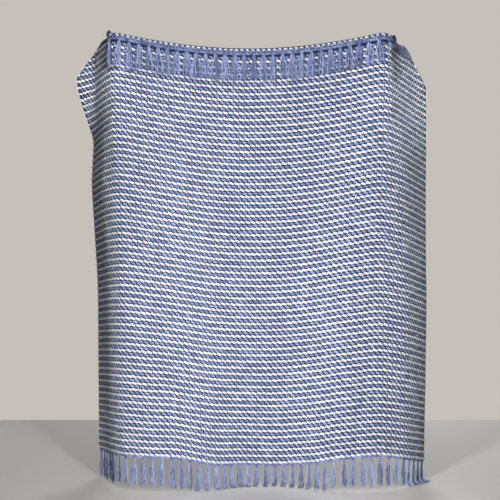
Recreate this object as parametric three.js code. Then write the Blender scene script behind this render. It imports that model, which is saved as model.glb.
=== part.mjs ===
// A fringed woven throw blanket that hangs from two places on its folded top hem.
// Millimetres, +Z up, the front faces -Y. The origin is the middle of the top fold.
import * as THREE from 'three';
import { mergeVertices } from 'three/addons/utils/BufferGeometryUtils.js';

// Driving sizes of the flat throw.
const WIDTH = 1300;
const HALF = WIDTH / 2;
const DROP = 1283;
const TURNED_HEM = 18;
const THICKNESS = 3.2;
const GRIP = 413;

// The weave's raised rows.
const ROW_PITCH = 19.7;
const ROW_HEIGHT = 2.6;
const LAST_ROW = 65;

// The sag of the top hem between the grips, and how far each outer corner drops.
const SAG = 50;
const SAG_POWER = 1.9;
const LEFT_DROP = 24;
const RIGHT_DROP = 54;
const PEAK_ROUND_TOP = 1.5;
const PEAK_ROUND_GROWTH = 10;

// Where the bottom hem hangs a little higher or lower than its length alone would put it.
const HEM_WAVES = [
  { name: 'left panel', across: -255, half: 110, rise: 17 },
  { name: 'middle', across: 90, half: 90, rise: -6 },
  { name: 'right panel', across: 290, half: 60, rise: 6 },
];

// How the cloth relaxes sideways and swings back as it hangs lower.
const RELAX = 0.035;
const RELAXED_AT = 0.6;
const DRIFT = 10;
const RECESS = 62;
const RECESS_POWER = 1.2;

// The top fold: its bend, where it starts, and the corners that it cuts off behind.
const BEND = 4.5;
const FOLD_START = 4;
const CORNER_CUT = 86;
const CORNER_START = 550;
const CORNER_ROUND = 90;
// Where the turned hem comes to lie along the sheet: the bend, in radians, and the run past it.
const SETTLE_TURN = 2.6;
const SETTLE_RUN = 6;
const CORNER_SLOPE = CORNER_CUT / (HALF - CORNER_START);
// Past the grips the turned hem swings from the front, over the top, to the back.
const LEFT_SWING = [434.5, 455];
const RIGHT_SWING = [463, 485];

// The fringe: tassels knotted into a narrow strip along each hem.
const TASSELS = 44;
const TASSEL_PITCH = WIDTH / TASSELS;
const BOTTOM_GAP = 0.5;
const TOP_GAP = 0.9;
const FRONT_STRIP = { from: -434.4, to: 464 };
const LEFT_STRIP_END = -452;
const RIGHT_STRIP_START = 481.5;
const EDGE_CLEAR = 3;
const STRIP_TALL = 8;
const STRIP_THICK = 3;
const TASSEL_LENGTH = 88;
const LOCKS = 3;
const LOCK_WIDE = 4.2;
const ROOT_WIDE = 3;
const FLAT_SHARE = 0.3;
const CREST_SHARE = 0.45;
const LOCK_GAPS = { root: 4, middle: 5.6, tip: 7 };
const FLOOR_BEND = 5;
const FLOOR_SWEEP = 0.3;
const INNER_FLOOR = 360;
const SWAY = 3;
// How a tassel's locks differ: in length, in lean off the tassel's plane, and at the tip.
const LENGTH_SPREAD = 4;
const MIDDLE_LEAN = 2.5;
const SIDE_LEAN = -0.5;
const TIP_WANDER = 0.6;
const MIDDLE_SWAY = 0.4;
const TIP_TAPER = 0.8;
const FLOOR_TAPER = 0.9;
const SWAY_SALT = 7;
const UNEVEN = { index: 12.9898, salt: 78.233, scale: 43758.5453 };
// Tassel numbers and lengths of the top hem, in front and behind.
const FRONT = { number: 100, length: 84 };
const BEHIND = { number: 200, length: 82 };
// How much the tips on the floor follow the common sweep, under the middle and outside it.
const SWEEP_RATE = 0.45;
const SWEEP_SHARE = { inner: 0.6, outer: 0.1 };
// The tassels of a cut corner, one lock each: how far in from the hem each one falls, from the
// outermost, and how a lock gets there: its share of that, its drop, and its clearance.
const CORNER_INWARD = [3.5, 4.5, 5.5, 5, 2.5];
const CORNER_FALL = [
  { share: 0.7, down: 3, clear: 9 },
  { share: 1, down: 13, clear: 9 },
  { share: 1, down: 80, clear: 9 },
];
const CORNER_WIDE = 2.6;
const FIRST_SWEPT = 36;
// How the swept tassels run from their roots: to the right, down the sheet, and clear of it.
const SWEPT = [
  { reach: 6, down: 35, clear: 11 },
  { reach: 22, down: 30, clear: 14 },
  { reach: 54, down: 25, clear: 10 },
  { reach: 88, down: 30, clear: 9 },
];
const SWEPT_SPREAD = 5;
const SWEPT_LOWER = 22;
const FLOOR = -1353;

// Plan section of the hanging cloth, one row for each fold from left to right.
// top and bottom place the fold across the cloth; the turns are in degrees away from
// the front at the levels below, positive where the cloth goes back to the right.
const LEVELS = [0, 0.1, 0.22, 0.34, 0.6, 1];
const FOLDS = [
  { name: 'left edge', top: -650, bottom: -650, turns: [-22, -36, -68, -63, -62, -56] },
  { name: 'left strip', top: -585, bottom: -600, turns: [-26, -40, -70, -67, -68, -63] },
  { name: 'left return', top: -555, bottom: -540, turns: [-62, -63, -69, -67, -70, -67] },
  { name: 'left turn', top: -440, bottom: -470, turns: [-62, -59, -60, -53, -55, -57] },
  { name: 'left crest', top: -400, bottom: -405, turns: [0, -5, -10, -14, -12, -14] },
  { name: 'left ridge', top: -360, bottom: -300, turns: [0, 0, 0, 0, 2, 0] },
  { name: 'left band', top: -300, bottom: -90, turns: [0, 5, 11, 17, 30, 37] },
  { name: 'middle', top: -60, bottom: 20, turns: [0, 1, 3, 4, 6, 4] },
  { name: 'right panel', top: 120, bottom: 70, turns: [0, 0, 0, -1, -4, -6] },
  { name: 'right band', top: 340, bottom: 190, turns: [0, -5, -10, -16, -27, -37] },
  { name: 'right ridge', top: 392, bottom: 330, turns: [0, 0, 0, 0, 0, 0] },
  { name: 'right crest', top: 412, bottom: 420, turns: [8, 9, 10, 10, 10, 12] },
  { name: 'right turn', top: 445, bottom: 480, turns: [62, 53, 42, 33, 22, 24] },
  { name: 'right strip', top: 520, bottom: 560, turns: [46, 50, 51, 52, 49, 51] },
  { name: 'right edge', top: 650, bottom: 650, turns: [42, 46, 50, 53, 55, 59] },
];

// Soft creases: where each runs across the cloth from its upper to its lower level,
// its half width, and how far it stands forward or back.
const CREASES = [
  { name: 'middle streak', level: [0.08, 0.55], across: [-20, -12], half: 26, depth: 5 },
  { name: 'left valley', level: [0.68, 1.0], across: [-330, -250], half: 30, depth: 8 },
  { name: 'right wedge', level: [0.78, 1.0], across: [385, 350], half: 22, depth: 7 },
  { name: 'low dimple', level: [0.6, 0.8], across: [70, 90], half: 24, depth: 5 },
];
const CREASE_FADE = 0.06;

// Columns across the cloth, closer where it turns.
const COLUMNS = [
  -650, -612, -578, -550, -515, -485, -455, -450, -445, -440, -434.5, -400, -350, -285, -210, -130,
  -50, 30, 110, 200, 280, 345, 400, 435, 463, 468, 474, 480, 485, 515, 550, 578, 612, 650,
];
const FOLD_ROWS = 4;
const FLAP_ROWS = 2;
const ROW_CLEAR = 3;
const BACK_ROWS = [20, 45, 70, 100, 150, 210, 280, 350, 430, 510, 590, 670, 750, 830, 910, 990,
  1070, 1140, 1210];

// Small distances for working out a direction, and for joining points that meet.
const SHEET_PROBE = 1;
const CLOTH_PROBE = 0.8;
const WELD = 1e-3;

const clamp = THREE.MathUtils.clamp;
const smooth = THREE.MathUtils.smoothstep;
const lerp = THREE.MathUtils.lerp;

// A value from a short row of numbers that are given at the levels.
function atLevel(values, level) {
  const w = clamp(level, 0, 1);
  let k = 0;
  while (k < LEVELS.length - 2 && w > LEVELS[k + 1]) {
    k += 1;
  }
  return lerp(values[k], values[k + 1], (w - LEVELS[k]) / (LEVELS[k + 1] - LEVELS[k]));
}

// The turn of the cloth away from the front, in radians, at a place and level.
function turnAt(across, level) {
  const w = clamp(level, 0, 1);
  const place = (fold) => lerp(fold.top, fold.bottom, w);
  let k = 0;
  while (k < FOLDS.length - 2 && across > place(FOLDS[k + 1])) {
    k += 1;
  }
  const a = FOLDS[k];
  const b = FOLDS[k + 1];
  const t = smooth(across, place(a), place(b));
  return THREE.MathUtils.degToRad(lerp(atLevel(a.turns, w), atLevel(b.turns, w), t));
}

// The plan section at one level, added up in small steps from the middle column.
const STEP = 5;
const REACH = HALF + 30;
const KEYS_PER_LEVEL = 20000;
const sections = new Map();

function sectionAt(level) {
  const key = Math.round(level * KEYS_PER_LEVEL);
  if (sections.has(key)) {
    return sections.get(key);
  }
  const count = Math.round(REACH / STEP);
  const xs = new Array(2 * count + 1).fill(0);
  const ys = new Array(2 * count + 1).fill(0);
  const give = 1 - RELAX * smooth(level, 0, RELAXED_AT);
  for (const side of [-1, 1]) {
    for (let i = 1; i <= count; i += 1) {
      const turn = turnAt(side * (i - 0.5) * STEP, level);
      const here = count + side * i;
      const before = here - side;
      xs[here] = xs[before] + side * STEP * give * Math.cos(turn);
      ys[here] = ys[before] + side * STEP * give * Math.sin(turn);
    }
  }
  const section = { xs, ys, count };
  sections.set(key, section);
  return section;
}

function creaseDepth(across, level) {
  let depth = 0;
  for (const crease of CREASES) {
    const [from, to] = crease.level;
    const run = clamp((level - from) / (to - from), 0, 1);
    const centre = lerp(crease.across[0], crease.across[1], run);
    const starts = smooth(level, from - CREASE_FADE, from + CREASE_FADE);
    const ends = starts * (1 - smooth(level, to - CREASE_FADE, to + CREASE_FADE));
    depth += crease.depth * ends * Math.exp(-(((across - centre) / crease.half) ** 2));
  }
  return depth;
}

// The height of the straight top line of the cloth above the origin's level.
function lineHeight(across, level) {
  const drop = lerp(LEFT_DROP, RIGHT_DROP, smooth(across, -GRIP / 4, GRIP / 4));
  const inside = SAG * (Math.abs(across) / GRIP) ** SAG_POWER;
  const outside = SAG - (drop * (Math.abs(across) - GRIP)) / (HALF - GRIP);
  const round = PEAK_ROUND_TOP + PEAK_ROUND_GROWTH * clamp(level, 0, 1);
  return (inside + outside) / 2 - Math.hypot((inside - outside) / 2, round) + PEAK_ROUND_TOP;
}

function hemRise(across, level) {
  const share = clamp(level, 0, 1) ** 2;
  return HEM_WAVES.reduce((sum, wave) => (
    sum + wave.rise * share * Math.exp(-(((across - wave.across) / wave.half) ** 2))), 0);
}

// The hanging main sheet's middle surface, at a place across and a length down the cloth.
function sheetPoint(across, down) {
  const level = down / DROP;
  const { xs, ys, count } = sectionAt(clamp(level, 0, 1));
  const i = clamp(Math.floor(across / STEP) + count, 0, 2 * count - 1);
  const t = across / STEP - (i - count);
  const w = clamp(level, 0, 1);
  const x = lerp(xs[i], xs[i + 1], t) + DRIFT * w;
  const y = lerp(ys[i], ys[i + 1], t) + RECESS * w ** RECESS_POWER + creaseDepth(across, level);
  return new THREE.Vector3(x, y, lineHeight(across, level) + hemRise(across, level) - down);
}

// The direction out of the main sheet's back.
function sheetBack(across, down) {
  const h = SHEET_PROBE;
  const a = sheetPoint(across + h, down).sub(sheetPoint(across - h, down));
  const b = sheetPoint(across, down + h).sub(sheetPoint(across, down - h));
  return a.cross(b).normalize();
}

// Where the top fold starts on each column: level to the corner, and then down its cut.
function cornerRun(across) {
  return Math.abs(across) - CORNER_START + CORNER_ROUND / 2;
}

function foldDown(across) {
  const run = cornerRun(across);
  const eased = clamp(run, 0, CORNER_ROUND) ** 2 / (2 * CORNER_ROUND);
  return FOLD_START + CORNER_SLOPE * (eased + Math.max(0, run - CORNER_ROUND));
}

function foldSlant(across) {
  return Math.atan(CORNER_SLOPE * clamp(cornerRun(across) / CORNER_ROUND, 0, 1));
}

// How the turned hem lies: -180 degrees hangs it in front, 0 stands it up, 180 hangs it behind.
function foldTurn(across) {
  const [from, to] = across < 0 ? LEFT_SWING : RIGHT_SWING;
  return lerp(-Math.PI, Math.PI, smooth(Math.abs(across), from, to));
}

// The cloth beyond the fold, on its way to the turned hem.
function flapPoint(across, down) {
  const side = across < 0 ? -1 : 1;
  const slant = foldSlant(across);
  const along = foldDown(across) - down;
  const out = along * Math.cos(slant);
  const footAcross = across - side * out * Math.sin(slant);
  const footDown = down + out * Math.cos(slant);
  const turn = foldTurn(across);
  const foot = sheetPoint(footAcross, footDown);
  const back = sheetBack(footAcross, footDown);
  const rise = sheetPoint(footAcross + side * Math.sin(slant), footDown - Math.cos(slant)).sub(foot);
  const total = Math.abs(turn);
  const bent = Math.min(out / BEND, total);
  const rest = Math.max(0, out - BEND * total);
  const facing = Math.sign(turn);
  const lift = BEND * Math.sin(bent) + rest * Math.cos(total);
  const shift = BEND * (1 - Math.cos(bent)) + rest * Math.sin(total);
  const free = foot.clone().addScaledVector(rise, lift).addScaledVector(back, facing * shift);
  const settle = smooth(total, SETTLE_TURN, Math.PI) * smooth(rest, 0, SETTLE_RUN);
  if (settle === 0) {
    return free;
  }
  const lieAcross = footAcross - side * rest * Math.sin(slant);
  const lieDown = footDown + rest * Math.cos(slant);
  const lying = sheetPoint(lieAcross, lieDown);
  lying.addScaledVector(sheetBack(lieAcross, lieDown), facing * 2 * BEND);
  return free.lerp(lying, settle);
}

function clothPoint(across, down) {
  return down >= foldDown(across) ? sheetPoint(across, down) : flapPoint(across, down);
}

// The direction out of the cloth's front face; it turns over with the fold.
function clothFront(across, down) {
  const h = CLOTH_PROBE;
  const a = clothPoint(across + h, down).sub(clothPoint(across - h, down));
  const b = clothPoint(across, down + h).sub(clothPoint(across, down - h));
  return b.cross(a).normalize();
}

// Makes the buffer geometry of a closed solid, with collapsed triangles left out.
function solidGeometry(points, faces) {
  const raw = new THREE.BufferGeometry();
  raw.setAttribute('position', new THREE.Float32BufferAttribute(points.flatMap((p) => p.toArray()), 3));
  raw.setIndex(faces.flat());
  const merged = mergeVertices(raw, WELD);
  const index = merged.getIndex().array;
  const kept = [];
  for (let i = 0; i < index.length; i += 3) {
    const [a, b, c] = [index[i], index[i + 1], index[i + 2]];
    if (a !== b && b !== c && c !== a) {
      kept.push(a, b, c);
    }
  }
  merged.setIndex(kept);
  merged.computeVertexNormals();
  return merged;
}

// Rows of one face of the cloth on one column, from the top hem down to the bottom hem.
function columnRows(across, mainRows) {
  const start = foldDown(across);
  const half = (Math.PI * BEND) / Math.cos(foldSlant(across));
  const rows = [];
  for (let i = 0; i < FLAP_ROWS; i += 1) {
    rows.push(lerp(-TURNED_HEM, start - half, i / FLAP_ROWS));
  }
  for (let i = 0; i <= FOLD_ROWS; i += 1) {
    rows.push(start - half * (1 - i / FOLD_ROWS));
  }
  for (const down of mainRows) {
    rows.push(down < start + ROW_CLEAR ? start : down);
  }
  rows.push(DROP);
  return rows;
}

// The raised rows of the front: a crest at each row of the weave and a groove between.
function ribRows() {
  const rows = [];
  for (let k = 1; k < LAST_ROW; k += 1) {
    rows.push({ down: (k - 0.5) * ROW_PITCH, raise: 0 });
    rows.push({ down: k * ROW_PITCH, raise: ROW_HEIGHT });
  }
  rows.push({ down: (LAST_ROW - 0.5) * ROW_PITCH, raise: 0 });
  return rows;
}

// Joins two edge lines that have different numbers of points.
function zip(lineA, lineB, downA, downB, faces) {
  let i = 0;
  let j = 0;
  while (i < lineA.length - 1 || j < lineB.length - 1) {
    const nextA = i < lineA.length - 1 ? downA[i + 1] : Infinity;
    const nextB = j < lineB.length - 1 ? downB[j + 1] : Infinity;
    if (nextA <= nextB) {
      faces.push([lineA[i], lineA[i + 1], lineB[j]]);
      i += 1;
    } else {
      faces.push([lineA[i], lineB[j + 1], lineB[j]]);
      j += 1;
    }
  }
}

function clothGeometry() {
  const ribs = ribRows();
  const points = [];
  const faces = [];
  const fronts = [];
  const backs = [];
  for (const across of COLUMNS) {
    const frontDowns = columnRows(across, ribs.map((rib) => rib.down));
    const backDowns = columnRows(across, BACK_ROWS);
    const first = FLAP_ROWS + FOLD_ROWS + 1;
    const front = frontDowns.map((down, i) => {
      const rib = ribs[i - first];
      const raise = rib && rib.down === down ? rib.raise : 0;
      points.push(clothPoint(across, down)
        .addScaledVector(clothFront(across, down), THICKNESS / 2 + raise));
      return points.length - 1;
    });
    const back = backDowns.map((down) => {
      points.push(clothPoint(across, down)
        .addScaledVector(clothFront(across, down), -THICKNESS / 2));
      return points.length - 1;
    });
    fronts.push({ ids: front, downs: frontDowns });
    backs.push({ ids: back, downs: backDowns });
  }
  for (let j = 0; j < COLUMNS.length - 1; j += 1) {
    const [f, g] = [fronts[j].ids, fronts[j + 1].ids];
    for (let i = 0; i < f.length - 1; i += 1) {
      faces.push([f[i], f[i + 1], g[i + 1]], [f[i], g[i + 1], g[i]]);
    }
    const [b, c] = [backs[j].ids, backs[j + 1].ids];
    for (let i = 0; i < b.length - 1; i += 1) {
      faces.push([b[i], c[i + 1], b[i + 1]], [b[i], c[i], c[i + 1]]);
    }
    const [m, n] = [f.length - 1, b.length - 1];
    faces.push([f[0], g[0], c[0]], [f[0], c[0], b[0]]);
    faces.push([f[m], c[n], g[m]], [f[m], b[n], c[n]]);
  }
  const last = COLUMNS.length - 1;
  zip(backs[0].ids, fronts[0].ids, backs[0].downs, fronts[0].downs, faces);
  zip(fronts[last].ids, backs[last].ids, fronts[last].downs, backs[last].downs, faces);
  return solidGeometry(points, faces);
}

// A repeatable uneven value between -1 and 1 for a numbered tassel and lock.
function uneven(index, salt) {
  const value = Math.sin(index * UNEVEN.index + salt * UNEVEN.salt) * UNEVEN.scale;
  return 2 * (value - Math.floor(value)) - 1;
}

function lockPlace(lock) {
  return lock - (LOCKS - 1) / 2;
}

function tasselAcross(index) {
  return -HALF + (index + 0.5) * TASSEL_PITCH;
}

// The path of a lock that hangs from its root and, where it is too long, lies level on the
// floor. A path has points, widths, and the side that the lock's flat face looks to.
function hangingPath({ root, index, lock, flat, front, heading, length, lies }) {
  const place = lockPlace(lock);
  const sway = SWAY * uneven(index, SWAY_SALT);
  const side = new THREE.Vector3(-front.y, front.x, 0).normalize();
  const below = length + LENGTH_SPREAD * uneven(index, lock + LOCKS);
  const free = Math.min(below, root.z - (FLOOR + FLOOR_BEND));
  const lean = place === 0 ? MIDDLE_LEAN : SIDE_LEAN;
  const at = (gap, move, forward, z) => {
    const aside = place * (gap - LOCK_GAPS.root) + move;
    const base = lies ? lies(aside, z) : root.clone().addScaledVector(side, aside).setZ(z);
    return base.addScaledVector(front, forward);
  };
  const tipMove = sway + TIP_WANDER * uneven(index, lock);
  const tip = at(LOCK_GAPS.tip, tipMove, lean, root.z - free);
  const spare = below - free;
  if (spare <= FLOOR_BEND) {
    const middle = at(LOCK_GAPS.middle, sway * MIDDLE_SWAY, lean, root.z - free / 2);
    const widths = [LOCK_WIDE, LOCK_WIDE * TIP_TAPER];
    return { points: [middle, tip], widths, flats: [flat, flat] };
  }
  const floorwards = new THREE.Vector3(0, 0, -1);
  const onFloor = (reach) => tip.clone().addScaledVector(heading, reach)
    .setZ(FLOOR + LOCK_WIDE * FLAT_SHARE);
  return {
    points: [tip, onFloor(FLOOR_BEND), onFloor(spare)],
    widths: [LOCK_WIDE, LOCK_WIDE, LOCK_WIDE * FLOOR_TAPER],
    flats: [heading.clone().negate().add(floorwards).normalize(), floorwards, floorwards],
  };
}

// The three corners of a lock's section: two on its flat side and one opposite.
function lockRing(point, run, flat, wide, hand) {
  const face = flat.clone().addScaledVector(run, -flat.dot(run)).normalize();
  const side = run.clone().cross(face).multiplyScalar(hand);
  return [
    point.clone().addScaledVector(face, wide * FLAT_SHARE).addScaledVector(side, -wide / 2),
    point.clone().addScaledVector(face, wide * FLAT_SHARE).addScaledVector(side, wide / 2),
    point.clone().addScaledVector(face, -wide * CREST_SHARE),
  ];
}

// A place beside a hem, on the straight line between two columns of the cloth, so that the
// strip keeps an even gap to the cloth's own edge.
function besideHem(across, down, offset) {
  let j = 0;
  while (j < COLUMNS.length - 2 && across > COLUMNS[j + 1]) {
    j += 1;
  }
  const [left, right] = [COLUMNS[j], COLUMNS[j + 1]].map((column) => clothPoint(column, down)
    .addScaledVector(clothFront(column, down), offset));
  return left.lerp(right, (across - COLUMNS[j]) / (COLUMNS[j + 1] - COLUMNS[j]));
}

// A stretch of fringe in one solid: the strip beside the hem, and the locks that grow out of
// its far edge. Each lock's root is a triangle of that edge.
function fringeGeometry({ from, to, first, last, hem, outward, gap, pathMaker }) {
  const near = hem + outward * gap;
  const far = near + outward * STRIP_TALL;
  const points = [];
  const faces = [];
  const add = (point) => points.push(point) - 1;
  const edge = (across, down, face) => besideHem(across, down, (face * STRIP_THICK) / 2);
  const station = (across, halfWide) => ({
    a0: add(edge(across - halfWide, far, -1)),
    a1: halfWide > 0 ? add(edge(across + halfWide, far, -1)) : points.length - 1,
    b: add(edge(across, far, 1)),
    c: add(edge(across, near, -1)),
    d: add(edge(across, near, 1)),
  });
  let before = station(from, 0);
  faces.push([before.c, before.d, before.b], [before.c, before.b, before.a0]);
  const span = (p, q) => {
    faces.push([p.c, p.a1, q.c], [p.a1, q.a0, q.c]);
    faces.push([p.d, q.d, p.b], [q.d, q.b, p.b]);
    faces.push([p.c, q.c, q.d], [p.c, q.d, p.d]);
    faces.push([p.a1, p.b, q.a0], [p.b, q.b, q.a0]);
  };
  for (let index = first; index <= last; index += 1) {
    const front = clothFront(tasselAcross(index), far);
    const flat = front.clone().negate();
    const alone = outward < 0 && cornerRun(tasselAcross(index)) > 0;
    for (const lock of alone ? [(LOCKS - 1) / 2] : [...Array(LOCKS).keys()]) {
      const beside = tasselAcross(index) + lockPlace(lock) * LOCK_GAPS.root;
      const here = station(beside, ROOT_WIDE / 2);
      span(before, here);
      faces.push([here.c, here.a0, here.a1]);
      const root = besideHem(beside, far, 0);
      const path = pathMaker({ root, index, lock, front, flat, beside });
      const across = points[here.a1].clone().sub(points[here.a0]);
      const opposite = points[here.b].clone().sub(points[here.a0]);
      let ring = [here.a0, here.a1, here.b];
      let hand = 0;
      path.points.forEach((point, i) => {
        const previous = i === 0 ? root : path.points[i - 1];
        const next = path.points[Math.min(i + 1, path.points.length - 1)];
        const run = next.clone().sub(previous).normalize();
        hand = hand || Math.sign(across.cross(opposite).dot(run));
        const corners = lockRing(point, run, path.flats[i], path.widths[i], hand);
        const lower = corners.map(add);
        for (const [m, n] of [[1, 0], [2, 1], [0, 2]]) {
          faces.push([ring[m], ring[n], lower[n]], [ring[m], lower[n], lower[m]]);
        }
        ring = lower;
      });
      faces.push([ring[1], ring[0], ring[2]]);
      before = here;
    }
  }
  const end = station(to, 0);
  span(before, end);
  faces.push([end.c, end.a1, end.b], [end.c, end.b, end.d]);
  return solidGeometry(points, signedVolume(points, faces) < 0
    ? faces.map((face) => face.reverse()) : faces);
}

function signedVolume(points, faces) {
  let volume = 0;
  for (const [a, b, c] of faces) {
    volume += points[a].dot(points[b].clone().cross(points[c])) / 6;
  }
  return volume;
}

// Tassels of the bottom hem, which lie forward on the floor.
function bottomPath({ root, index, lock, front, flat }) {
  const out = front.clone().setZ(0).normalize();
  const sweep = new THREE.Vector3(FLOOR_SWEEP * Math.sin(index * SWEEP_RATE), -1, 0);
  const share = Math.abs(root.x) < INNER_FLOOR ? SWEEP_SHARE.inner : SWEEP_SHARE.outer;
  const heading = out.clone().lerp(sweep, share).normalize();
  return hangingPath({ root, index, lock, flat, front: out, heading, length: TASSEL_LENGTH });
}

// Where the far edge of the top strip lies against the main sheet, at a cut corner.
function hemOnSheet(across) {
  const side = Math.sign(across);
  const slant = foldSlant(across);
  const edge = -(TURNED_HEM + TOP_GAP + STRIP_TALL);
  const out = (foldDown(across) - edge) * Math.cos(slant);
  const run = 2 * out - BEND * Math.PI;
  return {
    across: across - side * run * Math.sin(slant),
    down: edge + run * Math.cos(slant),
  };
}

// A place in front of the main sheet, clear of its raised rows.
function beforeSheet(across, down, clearance) {
  return sheetPoint(across, down).addScaledVector(sheetBack(across, down), -clearance);
}

// Tassels of the turned hem in front, which follow the sheet behind them. The last ones on
// the right are swept along the fold.
function frontPath({ root, index, lock, flat, beside }) {
  const out = new THREE.Vector3(0, -1, 0);
  if (index >= FIRST_SWEPT) {
    const lower = index === FIRST_SWEPT ? SWEPT_LOWER : 0;
    const spread = -lockPlace(lock) * SWEPT_SPREAD;
    const points = SWEPT.map(({ reach, down, clear }) => (
      beforeSheet(beside + reach, down + lower + spread, clear)));
    const flats = SWEPT.map(({ reach, down }) => sheetBack(beside + reach, down).negate());
    return { points, widths: SWEPT.map(() => LOCK_WIDE * TIP_TAPER), flats };
  }
  const lies = (aside, z) => {
    const across = beside + aside;
    return beforeSheet(across, lineHeight(across, 0) - z, 2 * BEND);
  };
  const hang = { index: index + FRONT.number, lock, flat, front: out, heading: out };
  return hangingPath({ ...hang, root, length: FRONT.length, lies });
}

// Tassels of the turned hem behind. On the level stretch they follow the sheet's back. The hem
// of a cut corner runs almost straight down, so its tassels turn off it before they fall.
function backPath({ root, index, lock, flat, beside }) {
  const out = sheetBack(beside, TASSEL_LENGTH).setZ(0).normalize();
  if (cornerRun(tasselAcross(index)) <= 0) {
    const { number, length } = BEHIND;
    const hang = { index: index + number, lock, flat, front: out, heading: out, length };
    const lies = (aside, z) => {
      const across = beside + aside;
      return beforeSheet(across, lineHeight(across, 0) - z, -2 * BEND);
    };
    return hangingPath({ ...hang, root, lies });
  }
  const side = Math.sign(beside);
  const reach = CORNER_INWARD[side < 0 ? index : TASSELS - 1 - index];
  const hem = hemOnSheet(beside);
  const points = CORNER_FALL.map(({ share, down, clear }) => (
    beforeSheet(hem.across - side * share * reach, hem.down + down, -clear)));
  return { points, widths: CORNER_FALL.map(() => CORNER_WIDE), flats: points.map(() => flat) };
}

const yarn = (color) => new THREE.MeshStandardMaterial({ color, roughness: 0.95, metalness: 0 });
const weaveBlue = yarn(0x8796c6);
const fringeBlue = yarn(0x7d8fc0);

const throwBlanket = new THREE.Group();

function addPart(name, geometry, material) {
  const mesh = new THREE.Mesh(geometry, material);
  mesh.name = name;
  throwBlanket.add(mesh);
}

const END = HALF - EDGE_CLEAR;
const HEMS = {
  bottom: { hem: DROP, outward: 1, gap: BOTTOM_GAP },
  top: { hem: -TURNED_HEM, outward: -1, gap: TOP_GAP },
};

addPart('cloth', clothGeometry(), weaveBlue);
addPart('fringe_bottom', fringeGeometry({
  ...HEMS.bottom, from: -END, to: END, first: 0, last: 43, pathMaker: bottomPath,
}), fringeBlue);
addPart('fringe_top', fringeGeometry({
  ...HEMS.top, ...FRONT_STRIP, first: 7, last: 37, pathMaker: frontPath,
}), fringeBlue);
addPart('fringe_top_left', fringeGeometry({
  ...HEMS.top, from: -END, to: LEFT_STRIP_END, first: 0, last: 6, pathMaker: backPath,
}), fringeBlue);
addPart('fringe_top_right', fringeGeometry({
  ...HEMS.top, from: RIGHT_STRIP_START, to: END, first: 38, last: 43, pathMaker: backPath,
}), fringeBlue);

export default throwBlanket;
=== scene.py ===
"""A fringed woven throw blanket that hangs from two places on its turned top hem.

The cloth is a navy ground with rows of plump white and blue yarn bobbles on both faces, and a
knotted yarn fringe along each hem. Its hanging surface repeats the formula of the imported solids,
so every piece lies where its CAD node is. Lengths are in millimetres in the classes, apart from
the lamps', and in metres in Blender. The front faces -Y, and the origin is the middle of the top
fold.
"""

import logging
import math
from dataclasses import dataclass, field, replace
from enum import Enum

import bpy
import numpy as np
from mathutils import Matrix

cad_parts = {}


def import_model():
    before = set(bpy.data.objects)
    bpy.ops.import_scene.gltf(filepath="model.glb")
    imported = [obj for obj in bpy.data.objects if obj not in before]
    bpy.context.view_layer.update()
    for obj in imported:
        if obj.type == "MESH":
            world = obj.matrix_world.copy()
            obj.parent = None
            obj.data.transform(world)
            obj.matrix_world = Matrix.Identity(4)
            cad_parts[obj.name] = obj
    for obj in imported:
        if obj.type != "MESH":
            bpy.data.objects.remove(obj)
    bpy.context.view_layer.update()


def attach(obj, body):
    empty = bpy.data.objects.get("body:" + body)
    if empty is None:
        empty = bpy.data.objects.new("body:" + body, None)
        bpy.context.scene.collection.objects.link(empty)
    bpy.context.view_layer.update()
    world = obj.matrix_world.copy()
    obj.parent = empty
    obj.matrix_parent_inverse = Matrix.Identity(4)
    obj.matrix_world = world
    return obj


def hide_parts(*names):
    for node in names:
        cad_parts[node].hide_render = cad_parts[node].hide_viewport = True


LOG = logging.getLogger("throw")
MM = 0.001
# The height of the floor that the bottom fringe reaches.
FLOOR = -1353.0

Array = np.ndarray
Place = tuple[float, float, float]
Tree = bpy.types.NodeTree
Socket = bpy.types.NodeSocket
Material = bpy.types.Material
Object = bpy.types.Object


def lerp(start: Array | float, end: Array | float, share: Array | float) -> Array | float:
    """Blends from start to end."""
    return start + (end - start) * share


def smooth(value: Array | float, low: float | Array, high: float | Array) -> Array | float:
    """Eases from 0 at low to 1 at high."""
    share = np.clip((value - low) / (high - low), 0.0, 1.0)
    return share * share * (3.0 - 2.0 * share)


def unit(vectors: Array) -> Array:
    """Scales each vector to a length of one."""
    return vectors / np.maximum(np.linalg.norm(vectors, axis=-1, keepdims=True), 1e-12)


def linear_colour(code: str) -> tuple[float, float, float, float]:
    """Turns an sRGB hex colour into the linear colour that a shader takes.

    Args:
        code: Six hex digits with a leading hash.
    Returns:
        Red, green, blue and a full alpha.
    """
    parts = [int(code[i:i + 2], 16) / 255 for i in (1, 3, 5)]
    red, green, blue = (c / 12.92 if c <= 0.04045 else ((c + 0.055) / 1.055) ** 2.4 for c in parts)
    return red, green, blue, 1.0


def add_node(tree: Tree, kind: str, links: dict | None = None, **settings: object
             ) -> bpy.types.Node:
    """Adds one node to a tree.

    Args:
        tree: The tree that gets the node.
        kind: Blender's name for the node.
        links: For an input's name or number, a value or the output that feeds it.
        **settings: The node's own properties.
    Returns:
        The new node.
    """
    node = tree.nodes.new(kind)
    for name, value in settings.items():
        setattr(node, name, value)
    for key, value in (links or {}).items():
        if isinstance(value, Socket):
            tree.links.new(value, node.inputs[key])
        else:
            node.inputs[key].default_value = value
    return node


# The hanging cloth


@dataclass(frozen=True)
class Fold:
    """A fold of the plan section: its place at the top and the bottom, and its turns in degrees."""

    top: float
    bottom: float
    turns: tuple[float, ...]


@dataclass(frozen=True)
class Crease:
    """A soft crease: its upper and lower level, its place at each, its half width and its depth."""

    level: tuple[float, float]
    across: tuple[float, float]
    half: float
    depth: float


@dataclass(frozen=True)
class HemWave:
    """A stretch of the bottom hem that hangs a little higher or lower than the rest."""

    across: float
    half: float
    rise: float


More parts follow.
